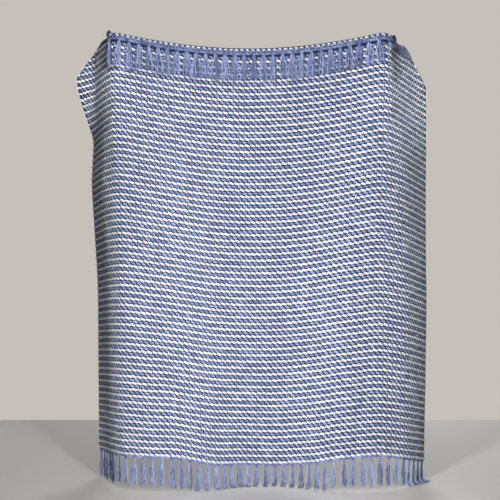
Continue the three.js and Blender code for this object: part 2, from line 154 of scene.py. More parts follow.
LEVELS = (0.0, 0.1, 0.22, 0.34, 0.6, 1.0)

# From the left edge to the right one. A turn is positive where the cloth goes back to the right.
FOLDS = (
    Fold(-650, -650, (-22, -36, -68, -63, -62, -56)),
    Fold(-585, -600, (-26, -40, -70, -67, -68, -63)),
    Fold(-555, -540, (-62, -63, -69, -67, -70, -67)),
    Fold(-440, -470, (-62, -59, -60, -53, -55, -57)),
    Fold(-400, -405, (0, -5, -10, -14, -12, -14)),
    Fold(-360, -300, (0, 0, 0, 0, 2, 0)),
    Fold(-300, -90, (0, 5, 11, 17, 30, 37)),
    Fold(-60, 20, (0, 1, 3, 4, 6, 4)),
    Fold(120, 70, (0, 0, 0, -1, -4, -6)),
    Fold(340, 190, (0, -5, -10, -16, -27, -37)),
    Fold(392, 330, (0, 0, 0, 0, 0, 0)),
    Fold(412, 420, (8, 9, 10, 10, 10, 12)),
    Fold(445, 480, (62, 53, 42, 33, 22, 24)),
    Fold(520, 560, (46, 50, 51, 52, 49, 51)),
    Fold(650, 650, (42, 46, 50, 53, 55, 59)),
)

CREASES = (
    Crease((0.08, 0.55), (-20, -12), 26, 5),
    Crease((0.68, 1.0), (-330, -250), 30, 8),
    Crease((0.78, 1.0), (385, 350), 22, 7),
    Crease((0.6, 0.8), (70, 90), 24, 5),
)

HEM_WAVES = (HemWave(-255, 110, 17), HemWave(90, 90, -6), HemWave(290, 60, 6))


@dataclass
class HangingCloth:
    """The middle surface of the hanging cloth, at a place across it and a length down it."""

    half_width: float = 650.0
    drop: float = 1283.0
    turned_hem: float = 18.0
    grip: float = 413.0
    sag: float = 50.0
    sag_power: float = 1.9
    drop_blend: float = 4.0
    left_drop: float = 24.0
    right_drop: float = 54.0
    peak_round_top: float = 1.5
    peak_round_growth: float = 10.0
    relax: float = 0.035
    relaxed_at: float = 0.6
    drift: float = 10.0
    recess: float = 62.0
    recess_power: float = 1.2
    crease_fade: float = 0.06
    bend: float = 4.5
    fold_start: float = 4.0
    corner_cut: float = 86.0
    corner_start: float = 550.0
    corner_round: float = 90.0
    settle_turn: float = 2.6
    settle_run: float = 6.0
    left_swing: tuple[float, float] = (434.5, 455.0)
    right_swing: tuple[float, float] = (463.0, 485.0)
    gather: float = 0.62
    gather_turn: float = 0.35 * math.pi
    step: float = 5.0
    reach: float = 680.0
    level_count: int = 321
    level_blur: float = 0.012
    probe: float = 1.0
    xs: Array = field(init=False)
    ys: Array = field(init=False)

    def __post_init__(self) -> None:
        """Adds up the plan section at each level and smooths it down the cloth."""
        self.count = round(self.reach / self.step)
        levels = np.linspace(0.0, 1.0, self.level_count)
        table = np.array([self._section(level) for level in levels])
        table = self._smooth_down(table)
        self.xs, self.ys = table[:, 0, :], table[:, 1, :]
        self.corner_slope = self.corner_cut / (self.half_width - self.corner_start)

    def _turn(self, across: Array, level: float) -> Array:
        """The cloth's turn away from the front, in radians, at places on one level.

        Args:
            across: Places across the cloth.
            level: One height, 0 at the top fold and 1 at the bottom hem.
        Returns:
            The turn at each place, in radians.
        """
        places = np.array([lerp(fold.top, fold.bottom, level) for fold in FOLDS])
        turns = np.array([np.interp(level, LEVELS, fold.turns) for fold in FOLDS])
        k = np.searchsorted(places[1:-1], across, side="left")
        share = smooth(across, places[k], places[k + 1])
        return np.radians(lerp(turns[k], turns[k + 1], share))

    def _section(self, level: float) -> Array:
        """The plan section at one level, added up outwards from the middle column.

        Args:
            level: 0 at the top fold and 1 at the bottom hem.
        Returns:
            A row of x and a row of y.
        """
        give = 1.0 - self.relax * smooth(level, 0.0, self.relaxed_at)
        middles = (np.arange(self.count) + 0.5) * self.step
        halves = []
        for side in (-1, 1):
            turn = self._turn(side * middles, level)
            moves = np.stack([np.cos(turn), np.sin(turn)]) * (side * self.step * give)
            halves.append(np.cumsum(moves, axis=1))
        left, right = halves
        return np.concatenate([left[:, ::-1], np.zeros((2, 1)), right], axis=1)

    def _smooth_down(self, table: Array) -> Array:
        """Rounds the small kinks at the levels with a Gaussian run down the cloth.

        Args:
            table: Values by level, axis and place.
        Returns:
            The smoothed table.
        """
        sigma = self.level_blur * (self.level_count - 1)
        radius = round(3 * sigma)
        weights = np.exp(-0.5 * (np.arange(-radius, radius + 1) / sigma) ** 2)
        weights /= weights.sum()
        edges = ((radius, radius), (0, 0), (0, 0))
        padded = np.pad(table, edges, mode="reflect", reflect_type="odd")
        rows = len(table)
        return sum(w * padded[i:i + rows] for i, w in enumerate(weights))

    def _crease_depth(self, across: Array, level: Array) -> Array:
        """How far the soft creases push the cloth back.

        Args:
            across: Places across the cloth.
            level: Heights on the cloth, 0 at the top fold and 1 at the bottom hem.
        Returns:
            The depth at each place.
        """
        depth = np.zeros_like(across)
        for crease in CREASES:
            start, end = crease.level
            run = np.clip((level - start) / (end - start), 0, 1)
            centre = lerp(crease.across[0], crease.across[1], run)
            fade = self.crease_fade
            shown = smooth(level, start - fade, start + fade)
            shown = shown * (1 - smooth(level, end - fade, end + fade))
            depth = depth + crease.depth * shown * np.exp(-(((across - centre) / crease.half) ** 2))
        return depth

    def line_height(self, across: Array, level: Array | float) -> Array:
        """The height of the cloth's straight top line, with its two peaks at the grips.

        Args:
            across: Places across the cloth.
            level: Heights on the cloth, 0 at the top fold and 1 at the bottom hem.
        Returns:
            The height at each place, from the origin.
        """
        blend = self.grip / self.drop_blend
        drop = lerp(self.left_drop, self.right_drop, smooth(across, -blend, blend))
        inside = self.sag * (np.abs(across) / self.grip) ** self.sag_power
        slope = (np.abs(across) - self.grip) / (self.half_width - self.grip)
        outside = self.sag - drop * slope
        rounding = self.peak_round_top + self.peak_round_growth * np.clip(level, 0, 1)
        peak = np.hypot((inside - outside) / 2, rounding)
        return (inside + outside) / 2 - peak + self.peak_round_top

    def _hem_rise(self, across: Array, level: Array) -> Array:
        """How much the bottom hem's waves lift the cloth.

        Args:
            across: Places across the cloth.
            level: Heights on the cloth, 0 at the top fold and 1 at the bottom hem.
        Returns:
            The lift at each place.
        """
        share = np.clip(level, 0, 1) ** 2
        return sum(w.rise * share * np.exp(-(((across - w.across) / w.half) ** 2))
                   for w in HEM_WAVES)

    def sheet(self, across: Array, down: Array) -> Array:
        """Points of the hanging main sheet, before its top is turned.

        Args:
            across: Places across the cloth.
            down: Lengths down the cloth.
        Returns:
            One point for each place.
        """
        across, down = np.broadcast_arrays(np.asarray(across, float), np.asarray(down, float))
        level = down / self.drop
        held = np.clip(level, 0, 1)
        row = held * (self.level_count - 1)
        r = np.minimum(row.astype(int), self.level_count - 2)
        column = across / self.step + self.count
        c = np.clip(np.floor(column).astype(int), 0, 2 * self.count - 1)
        dr, dc = row - r, column - c

        def read(table: Array) -> Array:
            """Reads the table between its rows and columns.

            Args:
                table: Values by level and place.
            Returns:
                A value for each place asked.
            """
            upper = lerp(table[r, c], table[r, c + 1], dc)
            lower = lerp(table[r + 1, c], table[r + 1, c + 1], dc)
            return lerp(upper, lower, dr)

        x = read(self.xs) + self.drift * held
        y = read(self.ys) + self.recess * held ** self.recess_power
        y = y + self._crease_depth(across, level)
        z = self.line_height(across, level) + self._hem_rise(across, level) - down
        return np.stack([x, y, z], axis=-1)

    def sheet_back(self, across: Array, down: Array) -> Array:
        """The direction out of the main sheet's back.

        Args:
            across: Places across the cloth.
            down: Lengths down the cloth.
        Returns:
            One direction for each place.
        """
        h = self.probe
        a = self.sheet(across + h, down) - self.sheet(across - h, down)
        b = self.sheet(across, down + h) - self.sheet(across, down - h)
        return unit(np.cross(a, b))

    def _corner_run(self, across: Array) -> Array:
        """How far a column lies into a cut corner."""
        return np.abs(across) - self.corner_start + self.corner_round / 2

    def fold_down(self, across: Array) -> Array:
        """Where the top fold starts on each column.

        Args:
            across: Places across the cloth.
        Returns:
            The length down the cloth at which it turns.
        """
        run = self._corner_run(across)
        eased = np.clip(run, 0, self.corner_round) ** 2 / (2 * self.corner_round)
        past = np.maximum(0, run - self.corner_round)
        return self.fold_start + self.corner_slope * (eased + past)

    def fold_slant(self, across: Array) -> Array:
        """How steeply the fold runs on each column, in radians."""
        share = np.clip(self._corner_run(across) / self.corner_round, 0, 1)
        return np.arctan(self.corner_slope * share)

    def fold_turn(self, across: Array) -> Array:
        """How the turned hem lies: -pi hangs it in front, and pi behind.

        Args:
            across: Places across the cloth.
        Returns:
            The turn of the hem at each place, in radians.
        """
        low = np.where(across < 0, self.left_swing[0], self.right_swing[0])
        high = np.where(across < 0, self.left_swing[1], self.right_swing[1])
        return lerp(-math.pi, math.pi, smooth(np.abs(across), low, high))

    def _flap(self, across: Array, down: Array) -> Array:
        """Points of the cloth beyond the fold, on its way to the turned hem.

        Args:
            across: Places across the cloth.
            down: Lengths down the cloth, less than those of the fold.
        Returns:
            One point for each place.
        """
        side = np.where(across < 0, -1.0, 1.0)
        slant = self.fold_slant(across)
        sine, cosine = np.sin(slant), np.cos(slant)
        turn = self.fold_turn(across)
        standing = 1 - smooth(np.abs(turn), self.gather_turn, math.pi)
        out = (self.fold_down(across) - down) * cosine * (1 - self.gather * standing)
        foot_across = across - side * out * sine
        foot_down = down + out * cosine
        foot = self.sheet(foot_across, foot_down)
        back = self.sheet_back(foot_across, foot_down)
        rise = self.sheet(foot_across + side * sine, foot_down - cosine) - foot
        total, facing = np.abs(turn), np.sign(turn)
        bent = np.minimum(out / self.bend, total)
        rest = np.maximum(0, out - self.bend * total)
        lift = self.bend * np.sin(bent) + rest * np.cos(total)
        shift = facing * (self.bend * (1 - np.cos(bent)) + rest * np.sin(total))
        free = foot + rise * lift[..., None] + back * shift[..., None]
        lie_across = foot_across - side * rest * sine
        lie_down = foot_down + rest * cosine
        apart = (facing * 2 * self.bend)[..., None]
        lying = self.sheet(lie_across, lie_down) + self.sheet_back(lie_across, lie_down) * apart
        settle = smooth(total, self.settle_turn, math.pi) * smooth(rest, 0, self.settle_run)
        return lerp(free, lying, settle[..., None])

    def point(self, across: Array, down: Array) -> Array:
        """Points of the whole cloth, with its top turned.

        Args:
            across: Places across the cloth.
            down: Lengths down the cloth, less than 0 on the turned hem.
        Returns:
            One point for each place.
        """
        across, down = np.broadcast_arrays(np.asarray(across, float), np.asarray(down, float))
        main = (down >= self.fold_down(across))[..., None]
        return np.where(main, self.sheet(across, down), self._flap(across, down))

    def frame(self, across: Array, down: Array) -> tuple[Array, Array]:
        """The directions out of the cloth's front face and across the cloth.

        Args:
            across: Places across the cloth.
            down: Lengths down the cloth.
        Returns:
            The front directions and the directions to the right along a row.
        """
        h = self.probe
        a = self.point(across + h, down) - self.point(across - h, down)
        b = self.point(across, down + h) - self.point(across, down - h)
        return unit(np.cross(b, a)), unit(a)

    def before(self, across: Array, down: Array, clear: Array | float) -> Array:
        """Points in front of the main sheet, clear of its middle surface."""
        out = np.asarray(clear, float)[..., None]
        return self.sheet(across, down) - self.sheet_back(across, down) * out


# Finishes


# The side of the flat map's square, and the bands of a wave texture in one unit at scale 1.
MAP_SIDE = 1400.0
WAVE_BANDS = 20 / (2 * math.pi)


def start_material(name: str) -> tuple[Material, Tree]:
    """Starts a material with an empty tree.

    Args:
        name: The material's name.
    Returns:
        The material and its tree.
    """
    material = bpy.data.materials.new(name)
    material.use_nodes = True
    material.node_tree.nodes.clear()
    return material, material.node_tree


@dataclass(frozen=True)
class CottonYarn:
    """Soft spun cotton yarn: matt, fibrous, with a faint sheen at its rim.

    The attribute "tint" makes each bobble or strand a little deeper or lighter than the next. On
    the fringe strands it also holds a painted shade that darkens yarns further back in a tassel.
    The fibres are drawn far coarser than real ones, so that they show.
    """

    name: str
    deep: str
    body: str
    light: str
    mottle_mm: float = 9.0
    mottle_share: float = 0.5
    fibre_mm: float = 0.9
    roughness: float = 0.92
    specular: float = 0.25
    sheen: float = 0.25
    sheen_roughness: float = 0.5
    bump_mm: float = 0.25
    bump_strength: float = 0.6

    def material(self) -> Material:
        """Builds the material on object coordinates.

        Returns:
            The material.
        """
        material, tree = start_material(self.name)
        place = add_node(tree, "ShaderNodeTexCoord").outputs["Object"]
        tint = add_node(tree, "ShaderNodeAttribute", attribute_name="tint")
        mottle = add_node(tree, "ShaderNodeTexNoise", {
            "Vector": place, "Scale": 1 / (self.mottle_mm * MM), "Detail": 2.0})
        uneven = add_node(tree, "ShaderNodeMath", {
            0: mottle.outputs["Fac"], 1: self.mottle_share, 2: -self.mottle_share / 2},
            operation="MULTIPLY_ADD")
        tone = add_node(tree, "ShaderNodeMath", {0: tint.outputs["Fac"], 1: uneven.outputs[0]},
                        operation="ADD", use_clamp=True)
        ramp = add_node(tree, "ShaderNodeValToRGB", {"Fac": tone.outputs[0]})
        ramp.color_ramp.elements[0].color = linear_colour(self.deep)
        ramp.color_ramp.elements[1].color = linear_colour(self.light)
        ramp.color_ramp.elements.new(0.5).color = linear_colour(self.body)
        fibre = add_node(tree, "ShaderNodeTexNoise", {
            "Vector": place, "Scale": 1 / (self.fibre_mm * MM), "Detail": 3.0})
        bump = add_node(tree, "ShaderNodeBump", {
            "Height": fibre.outputs["Fac"], "Distance": self.bump_mm * MM,
            "Strength": self.bump_strength})
        shader = add_node(tree, "ShaderNodeBsdfPrincipled", {
            "Base Color": ramp.outputs["Color"], "Roughness": self.roughness,
            "Specular IOR Level": self.specular, "Sheen Weight": self.sheen,
            "Sheen Roughness": self.sheen_roughness, "Normal": bump.outputs["Normal"]})
        add_node(tree, "ShaderNodeOutputMaterial", {"Surface": shader.outputs["BSDF"]})
        return material


@dataclass(frozen=True)
class GroundWeave:
    """The flat navy weave that binds the bobbles: matt cotton threads over and under.

    It gives the eye the dark net between the bobbles. The threads are drawn coarser than real
    ones, so that they show.
    """

    name: str = "navy_cotton_ground_weave"
    deep: str = "#22263e"
    body: str = "#3c4366"
    thread_mm: float = 1.6
    mottle_mm: float = 14.0
    distortion: float = 0.6
    thread_share: float = 0.7
    bump_mm: float = 0.4
    bump_strength: float = 0.7
    roughness: float = 0.95
    specular: float = 0.2
    sheen: float = 0.1

    def material(self) -> Material:
        """Builds the material on the cloth's own flat map, in millimetres.

        Returns:
            The material.
        """
        material, tree = start_material(self.name)
        flat = add_node(tree, "ShaderNodeUVMap", uv_map="flat_cloth").outputs["UV"]
        warp, weft = (add_node(tree, "ShaderNodeTexWave", {
            "Vector": flat, "Distortion": self.distortion, "Detail": 1.0,
            "Scale": MAP_SIDE / self.thread_mm / WAVE_BANDS},
            wave_type="BANDS", bands_direction=way).outputs["Fac"] for way in ("X", "Y"))
        threads = add_node(tree, "ShaderNodeMath", {0: warp, 1: weft}, operation="MULTIPLY")
        mottle = add_node(tree, "ShaderNodeTexNoise", {
            "Vector": flat, "Scale": MAP_SIDE / self.mottle_mm, "Detail": 3.0})
        share = add_node(tree, "ShaderNodeMath", {
            0: threads.outputs[0], 1: self.thread_share, 2: mottle.outputs["Fac"]},
            operation="MULTIPLY_ADD", use_clamp=True)
        colour = add_node(tree, "ShaderNodeMix", {
            0: share.outputs[0], 6: linear_colour(self.deep), 7: linear_colour(self.body)},
            data_type="RGBA")
        bump = add_node(tree, "ShaderNodeBump", {
            "Height": threads.outputs[0], "Distance": self.bump_mm * MM,
            "Strength": self.bump_strength})
        shader = add_node(tree, "ShaderNodeBsdfPrincipled", {
            "Base Color": colour.outputs[2], "Roughness": self.roughness,
            "Specular IOR Level": self.specular, "Sheen Weight": self.sheen,
            "Normal": bump.outputs["Normal"]})
        add_node(tree, "ShaderNodeOutputMaterial", {"Surface": shader.outputs["BSDF"]})
        return material


# The white yarn gives bright plump dots, and the periwinkle one the softer blue rows between them.
# The fringe yarn runs from navy to pale blue, so that single strands show in a tassel; its darker
# end is also painted shade on yarns further back in a tassel.
WHITE_BOBBLE = CottonYarn("white_cotton_bobble_yarn", "#d3d6e0", "#e4e6ed", "#f2f3f7")
BLUE_BOBBLE = CottonYarn("periwinkle_cotton_bobble_yarn", "#6a769a", "#8995b9", "#abb7d7")
FRINGE_YARN = CottonYarn("blue_cotton_fringe_yarn", "#2f3860", "#6e7bab", "#adb9e0",
                         mottle_mm=16.0, fibre_mm=0.7)


# Builders that the pieces share


# Attributes that only the trees need, so that no finished piece keeps them.
SCAFFOLDING = ("facing", "along", "thick")


class Face(Enum):
    """A face of the cloth."""

    FRONT = 1
    BACK = -1


def mesh_object(name: str, points: Array, faces: list | Array = (), edges: list | Array = ()
                ) -> Object:
    """Makes a mesh object at the origin from points in millimetres.

    Args:
        name: The object's name.
        points: One point for each vertex.
        faces: Corners of each face.
        edges: Ends of each edge that stands alone.
    Returns:
        The object, in the scene.
    """
    mesh = bpy.data.meshes.new(name)
    mesh.from_pydata((np.asarray(points) * MM).tolist(), np.asarray(edges).tolist(),
                     [tuple(face) for face in faces])
    obj = bpy.data.objects.new(name, mesh)
    bpy.context.scene.collection.objects.link(obj)
    return obj


def set_attribute(mesh: bpy.types.Mesh, name: str, values: Array) -> None:
    """Gives each vertex a number, or a vector where each value has three parts.

    Args:
        mesh: The mesh that gets the attribute.
        name: The attribute's name.
        values: A value for each vertex.
    """
    kind, slot = ("FLOAT_VECTOR", "vector") if np.ndim(values) == 2 else ("FLOAT", "value")
    attribute = mesh.attributes.new(name, kind, "POINT")
    attribute.data.foreach_set(slot, np.asarray(values, np.float32).ravel())


def start_tree(name: str, inputs: dict[str, str]) -> tuple[Tree, bpy.types.Node]:
    """Starts a Geometry Nodes tree with named inputs.

    Args:
        name: The tree's name.
        inputs: The socket type of each input, by name.
    Returns:
        The tree and its input node.
    """
    tree = bpy.data.node_groups.new(name, "GeometryNodeTree")
    for label, kind in {"Geometry": "Geometry", **inputs}.items():
        tree.interface.new_socket(name=label, in_out="INPUT", socket_type=f"NodeSocket{kind}")
    tree.interface.new_socket(name="Geometry", in_out="OUTPUT", socket_type="NodeSocketGeometry")
    return tree, add_node(tree, "NodeGroupInput")


def end_tree(tree: Tree, shape: Socket, material: Socket) -> Tree:
    """Makes a tree's instances real, shades them smooth and gives them their material.

    Args:
        tree: A Geometry Nodes tree.
        shape: The output with the finished shape.
        material: The output with the material.
    Returns:
        The same tree.
    """
    real = add_node(tree, "GeometryNodeRealizeInstances", {"Geometry": shape})
    soft = add_node(tree, "GeometryNodeSetShadeSmooth", {"Geometry": real.outputs[0]})
    dressed = add_node(tree, "GeometryNodeSetMaterial", {
        "Geometry": soft.outputs[0], "Material": material})
    add_node(tree, "NodeGroupOutput", {"Geometry": dressed.outputs[0]})
    return tree


def grow(carrier: Object, tree: Tree, values: dict[str, object]) -> Object:
    """Runs a tree on a carrier and keeps the result as the carrier's own plain mesh.

    Args:
        carrier: The object with the points or the paths.
        tree: The Geometry Nodes tree.
        values: A value for each named input.
    Returns:
        The carrier, now the finished piece.
    """
    modifier = carrier.modifiers.new("growth", "NODES")
    modifier.node_group = tree
    for item in tree.interface.items_tree:
        if item.in_out == "INPUT" and item.name in values:
            modifier[item.identifier] = values[item.name]
    graph = bpy.context.evaluated_depsgraph_get()
    grown = bpy.data.meshes.new_from_object(
        carrier.evaluated_get(graph), preserve_all_data_layers=True, depsgraph=graph)
    carrier.modifiers.remove(modifier)
    used = carrier.data
    carrier.data = grown
    bpy.data.meshes.remove(used)
    for name in SCAFFOLDING:
        if name in grown.attributes:
            grown.attributes.remove(grown.attributes[name])
    grown.name = carrier.name
    return carrier


def bobble_tree() -> Tree:
    """Builds the tree that seats one yarn form on each point of a carrier.

    Each point has a direction out of the cloth, "facing", and one along its row, "along". The
    seed, and the two numbers after it, draw the lean, the size and the tint.

    Returns:
        The tree.
    """
    tree, given = start_tree("seat_yarn_bobbles", {
        "Bobble": "Object", "Lean": "Float", "Lean Spread": "Float", "Size Spread": "Float",
        "Lowest Tint": "Float", "Highest Tint": "Float", "Seed": "Int", "Material": "Material"})
    sockets = given.outputs
    form = add_node(tree, "GeometryNodeObjectInfo", {"Object": sockets["Bobble"]})
    facing, along = (
        add_node(tree, "GeometryNodeInputNamedAttribute", {"Name": name},
                 data_type="FLOAT_VECTOR").outputs["Attribute"] for name in ("facing", "along"))
    seat = add_node(tree, "FunctionNodeAxesToRotation", {0: facing, 1: along},
                    primary_axis="Z", secondary_axis="X")
    ranges = [[add_node(tree, "ShaderNodeMath", {0: middle, 1: spread}, operation=way).outputs[0]
               for way in ("SUBTRACT", "ADD")]
              for middle, spread in ((sockets["Lean"], sockets["Lean Spread"]),
                                     (1.0, sockets["Size Spread"]))]
    ranges.append([sockets["Lowest Tint"], sockets["Highest Tint"]])
    drawn = []
    for number, (least, most) in enumerate(ranges):
        seed = add_node(tree, "ShaderNodeMath", {0: sockets["Seed"], 1: float(number)},
                        operation="ADD")
        draw = add_node(tree, "FunctionNodeRandomValue", {
            2: least, 3: most, 8: seed.outputs[0]}, data_type="FLOAT")
        drawn.append(draw.outputs[1])
    lean, size, tint = drawn
    turn = add_node(tree, "ShaderNodeCombineXYZ", {"Z": lean})
    leaning = add_node(tree, "FunctionNodeEulerToRotation", {0: turn.outputs[0]})
    rotation = add_node(tree, "FunctionNodeRotateRotation", {
        0: seat.outputs[0], 1: leaning.outputs[0]}, rotation_space="LOCAL")
    seated = add_node(tree, "GeometryNodeInstanceOnPoints", {
        "Points": sockets["Geometry"], "Instance": form.outputs["Geometry"],
        "Rotation": rotation.outputs[0], "Scale": size})
    tinted = add_node(tree, "GeometryNodeStoreNamedAttribute", {
        "Geometry": seated.outputs[0], "Name": "tint", "Value": tint},
        data_type="FLOAT", domain="INSTANCE")
    return end_tree(tree, tinted.outputs[0], sockets["Material"])


def strand_tree() -> Tree:
    """Builds the tree that runs a round yarn along each path of a carrier.

    Each point of a path has the yarn's radius there, "thick", in metres.

    Returns:
        The tree.
    """
    tree, given = start_tree("run_fringe_yarn", {"Sides": "Int", "Material": "Material"})
    path = add_node(tree, "GeometryNodeMeshToCurve", {"Mesh": given.outputs["Geometry"]})
    thick = add_node(tree, "GeometryNodeInputNamedAttribute", {"Name": "thick"},
                     data_type="FLOAT")
    profile = add_node(tree, "GeometryNodeCurvePrimitiveCircle", {
        "Resolution": given.outputs["Sides"], "Radius": 1.0}, mode="RADIUS")
    yarn = add_node(tree, "GeometryNodeCurveToMesh", {
        "Curve": path.outputs[0], "Profile Curve": profile.outputs[0],
        "Scale": thick.outputs["Attribute"], "Fill Caps": True})
    return end_tree(tree, yarn.outputs[0], given.outputs["Material"])


@dataclass(frozen=True)
class BobbleForm:
    """A plump spindle of yarn that lies on the cloth, as a closed shape of few faces."""

    length: float
    width: float
    height: float
    sunk: float = 1.0
    sides: int = 6
    rings: tuple[tuple[float, float], ...] = ((-0.62, 0.84), (0.0, 1.0), (0.62, 0.84))

    def build(self) -> Object:
        """Makes the form as an object, for a tree to repeat.

        Returns:
            The form, which isn't a piece yet.
        """
        half_long, half_wide = self.length / 2, self.width / 2
        points = [(-half_long, 0.0, 0.0)]
        for place, full in self.rings:
            for corner in range(self.sides):
                angle = 2 * math.pi * (corner + 0.5) / self.sides
                rise = math.sin(angle)
                tall = self.height if rise > 0 else self.sunk
                points.append((place * half_long, -math.cos(angle) * half_wide * full,
                               rise * tall * full))
        points.append((half_long, 0.0, 0.0))
        last, count = len(points) - 1, self.sides
        faces = []
        for corner in range(count):
            after = (corner + 1) % count
            faces.append((0, 1 + after, 1 + corner))
            for ring in range(len(self.rings) - 1):
                here, there = 1 + ring * count, 1 + (ring + 1) * count
                faces.append((here + corner, here + after, there + after, there + corner))
            end = last - count
            faces.append((last, end + corner, end + after))
        return mesh_object("yarn_form", np.array(points), faces)


@dataclass(frozen=True)
class Seating:
    """How forms are seated: their lean and its spread in radians, and how size and tint vary."""

    lean: float
    lean_spread: float
    size_spread: float
    tints: tuple[float, float]
    seed: int

    def piece(self, name: str, seats: tuple[Array, Array, Array], form: BobbleForm, tree: Tree,
              material: Material) -> Object:
        """Seats a form on each of some points, as one piece.

        Args:
            name: The piece's name.
            seats: The points, the directions that the forms face, and those that they lie along.
            form: What is seated.
            tree: The tree that seats it.
            material: The yarn's finish.
        Returns:
            The piece.
        """
        points, facing, along = seats
        carrier = mesh_object(name, points)
        set_attribute(carrier.data, "facing", facing)
        set_attribute(carrier.data, "along", along)
        shape = form.build()
        piece = grow(carrier, tree, {
            "Bobble": shape, "Lean": self.lean, "Lean Spread": self.lean_spread,
            "Size Spread": self.size_spread, "Lowest Tint": self.tints[0],
            "Highest Tint": self.tints[1], "Seed": self.seed, "Material": material})
        bpy.data.objects.remove(shape)
        return piece


# The woven cloth


@dataclass
class WovenThrow:
    """The throw's cloth: its ground, its rows of bobbles on both faces, and its selvedges."""

    cloth: HangingCloth
    tree: Tree
    half_thick: float = 1.2
    row_pitch: float = 19.7
    row_count: int = 66
    bobbles_in_row: int = 78
    fold_rows: int = 10
    flap_rows: int = 3
    main_rows: int = 121
    column_step: float = 10.0
    swing_step: float = 2.5
    swing_reach: tuple[float, float] = (430.0, 490.0)
    inside_fold: float = 6.0
    covered_rows: float = 1.25
    gathered_to: float = 10.0
    stands_up: float = 0.5 * math.pi
    lies_down: float = 0.9 * math.pi
    wander: float = 0.5
    seating: Seating = Seating(-0.32, 0.07, 0.06, (0.15, 0.85), 11)
    map_margin: float = 20.0
    white_form: BobbleForm = BobbleForm(18.6, 8.7, 2.7)
    blue_form: BobbleForm = BobbleForm(14.8, 8.2, 1.7)
    plain_rings: tuple[tuple[float, float], ...] = ((-0.4, 0.94), (0.4, 0.94))
    loop_form: BobbleForm = BobbleForm(9.0, 7.0, 3.2)
    dash_form: BobbleForm = BobbleForm(12.6, 4.8, 1.4)
    band_form: BobbleForm = BobbleForm(12.0, 5.2, 1.4)
    dash_row: float = -10.2
    dash_lean: float = -0.1
    band_row: float = -15.4
    band_lean: float = 0.45
    band_spacing: float = 0.6
    dressings: list[Object] = field(default_factory=list)

    def __post_init__(self) -> None:
        """Sets the pitch of the bobbles and makes the two yarns."""
        self.pitch = 2 * self.cloth.half_width / self.bobbles_in_row
        self.white, self.blue = WHITE_BOBBLE.material(), BLUE_BOBBLE.material()

    def _columns(self) -> Array:
        """Places of the ground's columns, closer where the hem swings over.

        Returns:
            The places, from left to right.
        """
        width = self.cloth.half_width
        base = np.arange(-width, width + 1, self.column_step)
        swing = np.arange(*self.swing_reach, self.swing_step)
        return np.unique(np.concatenate([base, swing, -swing]).round(3))

    def _rows(self, columns: Array) -> Array:
        """Lengths down each column: the flap, the bend, and the main sheet.

        Args:
            columns: Places of the columns.
        Returns:
            One row of lengths for each row of the grid.
        """
        cloth = self.cloth
        start = cloth.fold_down(columns)
        bend = math.pi * cloth.bend / np.cos(cloth.fold_slant(columns))
        edge = np.full_like(columns, -cloth.turned_hem)
        shares = np.linspace(0, 1, self.flap_rows, endpoint=False)[:, None]
        flap = lerp(edge, start - bend, shares)
        arc = lerp(start - bend, start, np.linspace(0, 1, self.fold_rows, endpoint=False)[:, None])
        main = lerp(start, cloth.drop, np.linspace(0, 1, self.main_rows)[:, None])
        return np.concatenate([flap, arc, main])

    def ground(self) -> Object:
        """Makes the ground as one closed sheet with a flat map of the cloth.

        Returns:
            The ground piece.
        """
        columns = self._columns()
        downs = self._rows(columns)
        across = np.broadcast_to(columns, downs.shape)
        middle = self.cloth.point(across, downs)
        front, _ = self.cloth.frame(across, downs)
        offset = front * self.half_thick
        shape = downs.shape
        ids = np.arange(downs.size).reshape(shape)
        far = ids + downs.size
        quad = (ids[:-1, :-1], ids[1:, :-1], ids[1:, 1:], ids[:-1, 1:])
        back = (far[:-1, :-1], far[:-1, 1:], far[1:, 1:], far[1:, :-1])
        faces = [np.stack([c.ravel() for c in quad], 1), np.stack([c.ravel() for c in back], 1)]
        rim = [(ids[0], far[0], 1), (ids[-1], far[-1], -1),
               (ids[:, 0], far[:, 0], -1), (ids[:, -1], far[:, -1], 1)]
        for near, away, hand in rim:
            strip = np.stack([near[:-1], near[1:], away[1:], away[:-1]], 1)
            faces.append(strip[:, ::hand])
        points = np.stack([middle + offset, middle - offset]).reshape(-1, 3)
        obj = mesh_object("throw_ground", points, np.concatenate(faces))
        flat = np.stack([across + MAP_SIDE / 2, downs + self.map_margin], -1)
        flat = flat.reshape(-1, 2) / MAP_SIDE
        flat = np.concatenate([flat, flat])
        uv = obj.data.uv_layers.new(name="flat_cloth")
        corners = np.zeros(len(obj.data.loops), int)
        obj.data.loops.foreach_get("vertex_index", corners)
        uv.data.foreach_set("uv", flat[corners].astype(np.float32).ravel())
        obj.data.shade_smooth()
        obj.data.materials.append(GroundWeave().material())
        return obj

    def _shown(self, across: Array, down: Array, face: Face) -> Array:
        """Whether a bobble shows, and isn't shut inside the top fold.

        Args:
            across: Places across the cloth.
            down: Lengths down the cloth.
            face: The face that the bobbles are on.
        Returns:
            True for each bobble that shows.
        """
        turn = self.cloth.fold_turn(across)
        outside = np.sign(turn) == face.value
        standing = np.abs(turn) < self.stands_up
        main = down > self.cloth.fold_down(across) + self.inside_fold
        flap = (down < 0) & (np.abs(across) < self.swing_reach[0])
        under = (face is Face.FRONT) & (np.abs(across) < self.swing_reach[0])
        covered = under & (down < self.row_pitch * self.covered_rows)
        gathered = (np.abs(across) < self.swing_reach[1]) & (down < self.gathered_to)
        return (main | outside | standing) & ~flap & ~covered & ~gathered

    def _seats(self, across: Array, down: Array, side: int | Array
               ) -> tuple[Array, Array, Array]:
        """Seats for forms on the cloth.

        Args:
            across: Places across the cloth.
            down: Lengths down the cloth.
            side: 1 on the front face and -1 on the back one.
        Returns:
            The points on the face, the directions out of it and those along its rows.
        """
        front, along = self.cloth.frame(across, down)
        facing = front * side
        return self.cloth.point(across, down) + facing * self.half_thick, facing, along

